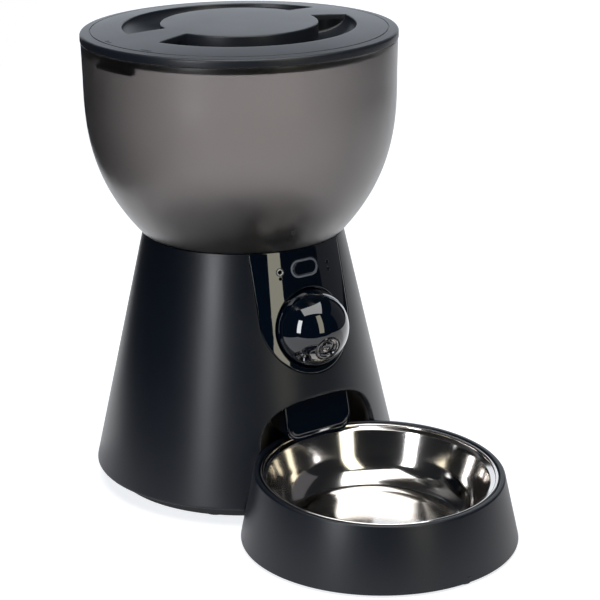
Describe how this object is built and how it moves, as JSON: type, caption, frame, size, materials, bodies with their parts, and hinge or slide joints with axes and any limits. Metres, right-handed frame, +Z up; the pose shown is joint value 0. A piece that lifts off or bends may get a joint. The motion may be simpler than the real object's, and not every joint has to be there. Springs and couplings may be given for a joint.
{
  "type": "camera pet feeder",
  "caption": "Automatic dry food dispenser for pets: cone base with a pan and tilt camera, smoked bowl-shaped tank with a lid, portion wheel, chute, and a steel bowl in a pull-off holder.",
  "frame": {"origin": "middle of the footprint's box on the floor", "axes": "+Z up, the bowl in front towards -Y, the tank's axis upright behind it towards +Y, X across"},
  "size_m": [0.2, 0.3285, 0.3014],
  "materials": {
    "satin_black": "fine moulded satin, near black",
    "gloss_black": "polished piano black",
    "lid_black": "satin blue black",
    "smoked": "smoked translucent plastic, lightly frosted",
    "rubber": "matt elastomer",
    "inner_black": "plain moulded, inside",
    "steel": "polished stainless steel",
    "zinc": "zinc plated",
    "board": "printed circuit board",
    "white_plastic": "natural acetal or fibre",
    "light_grey": "light guide",
    "cell_wrap": "plain shrink sleeve",
    "lens_glass": "coated lens glass"
  },
  "bodies": {
    "base": {"base_shell": "satin_black", "front_panel": "gloss_black", "outlet_recess": "satin_black", "chute": "gloss_black", "base_plate": "inner_black", "battery_case": "inner_black", "battery_cell_1": "cell_wrap", "battery_cell_2": "cell_wrap", "battery_cell_3": "cell_wrap", "battery_contact_1": "zinc", "battery_contact_2": "zinc", "main_board": "board", "foot_pad_1": "rubber", "foot_pad_2": "rubber", "foot_pad_3": "rubber", "foot_pad_4": "rubber", "base_screw_1": "zinc", "base_screw_2": "zinc", "base_screw_3": "zinc", "base_screw_4": "zinc", "dispenser_housing": "inner_black", "housing_screw_1": "zinc", "housing_screw_2": "zinc", "housing_screw_3": "zinc", "metering_cover": "inner_black", "gearmotor": "zinc", "tank_gasket": "rubber", "camera_socket": "gloss_black", "pan_motor": "zinc", "light_ring": "light_grey", "key_board": "board", "microphone_trim": "steel", "indicator_window_1": "inner_black", "indicator_window_2": "inner_black", "power_inlet": "inner_black", "speaker": "inner_black"},
    "lid": {"lid": "lid_black", "lid_seal": "rubber", "desiccant_pack": "white_plastic"},
    "desiccant_cover": {"desiccant_cover": "inner_black"},
    "tank": {"tank": "smoked"},
    "wheel": {"portion_wheel": "inner_black", "stirrer": "inner_black", "drive_coupling": "white_plastic", "drive_shaft": "steel"},
    "pan": {"pan_yoke": "inner_black", "tilt_motor": "zinc"},
    "ball": {"ball_front": "gloss_black", "ball_rear": "gloss_black", "lens_barrel": "gloss_black", "lens_glass": "lens_glass", "sensor_board": "board", "infrared_lamp": "lens_glass"},
    "button": {"feed_button": "gloss_black"},
    "battery_door": {"battery_door": "inner_black"},
    "holder": {"bowl_holder": "satin_black", "holder_pad_1": "rubber", "holder_pad_2": "rubber", "holder_pad_3": "rubber"},
    "bowl": {"steel_bowl": "steel"}
  },
  "joints": [
    {"name": "tank_lift", "type": "slide", "parent": "base", "child": "tank", "axis": [0, 0, 1], "range_m": [0, 0.06]},
    {"name": "lid_lift", "type": "slide", "parent": "tank", "child": "lid", "axis": [0, 0, 1], "range_m": [0, 0.05]},
    {"name": "desiccant_cover_pull", "type": "slide", "parent": "lid", "child": "desiccant_cover", "axis": [0, 0, -1], "range_m": [0, 0.02]},
    {"name": "wheel_turn", "type": "hinge", "parent": "base", "child": "wheel", "pos_m": [0, 0.06442, 0.13], "axis": [0, 0, 1], "continuous": true},
    {"name": "camera_pan", "type": "hinge", "parent": "base", "child": "pan", "pos_m": [0, -0.00797, 0.11746], "axis": [0, 0, 1], "range_deg": [-23, 77]},
    {"name": "camera_tilt", "type": "hinge", "parent": "pan", "child": "ball", "pos_m": [0, -0.00797, 0.11746], "axis": [-0.891, 0.454, 0], "range_deg": [-15, 40]},
    {"name": "button_press", "type": "slide", "parent": "base", "child": "button", "axis": [0, 0.9755, -0.2198], "range_m": [0, 0.001], "stiffness_N_per_m": 600, "springref_m": -0.0006},
    {"name": "battery_door_slide", "type": "slide", "parent": "base", "child": "battery_door", "axis": [0, 1, 0], "range_m": [0, 0.008]},
    {"name": "holder_pull", "type": "slide", "parent": "base", "child": "holder", "axis": [0, -1, 0], "range_m": [0, 0.05]},
    {"name": "bowl_tip", "type": "hinge", "parent": "holder", "child": "bowl", "pos_m": [0, -0.00632, 0.04567], "axis": [-1, 0, 0], "range_deg": [0, 25]}
  ]
}
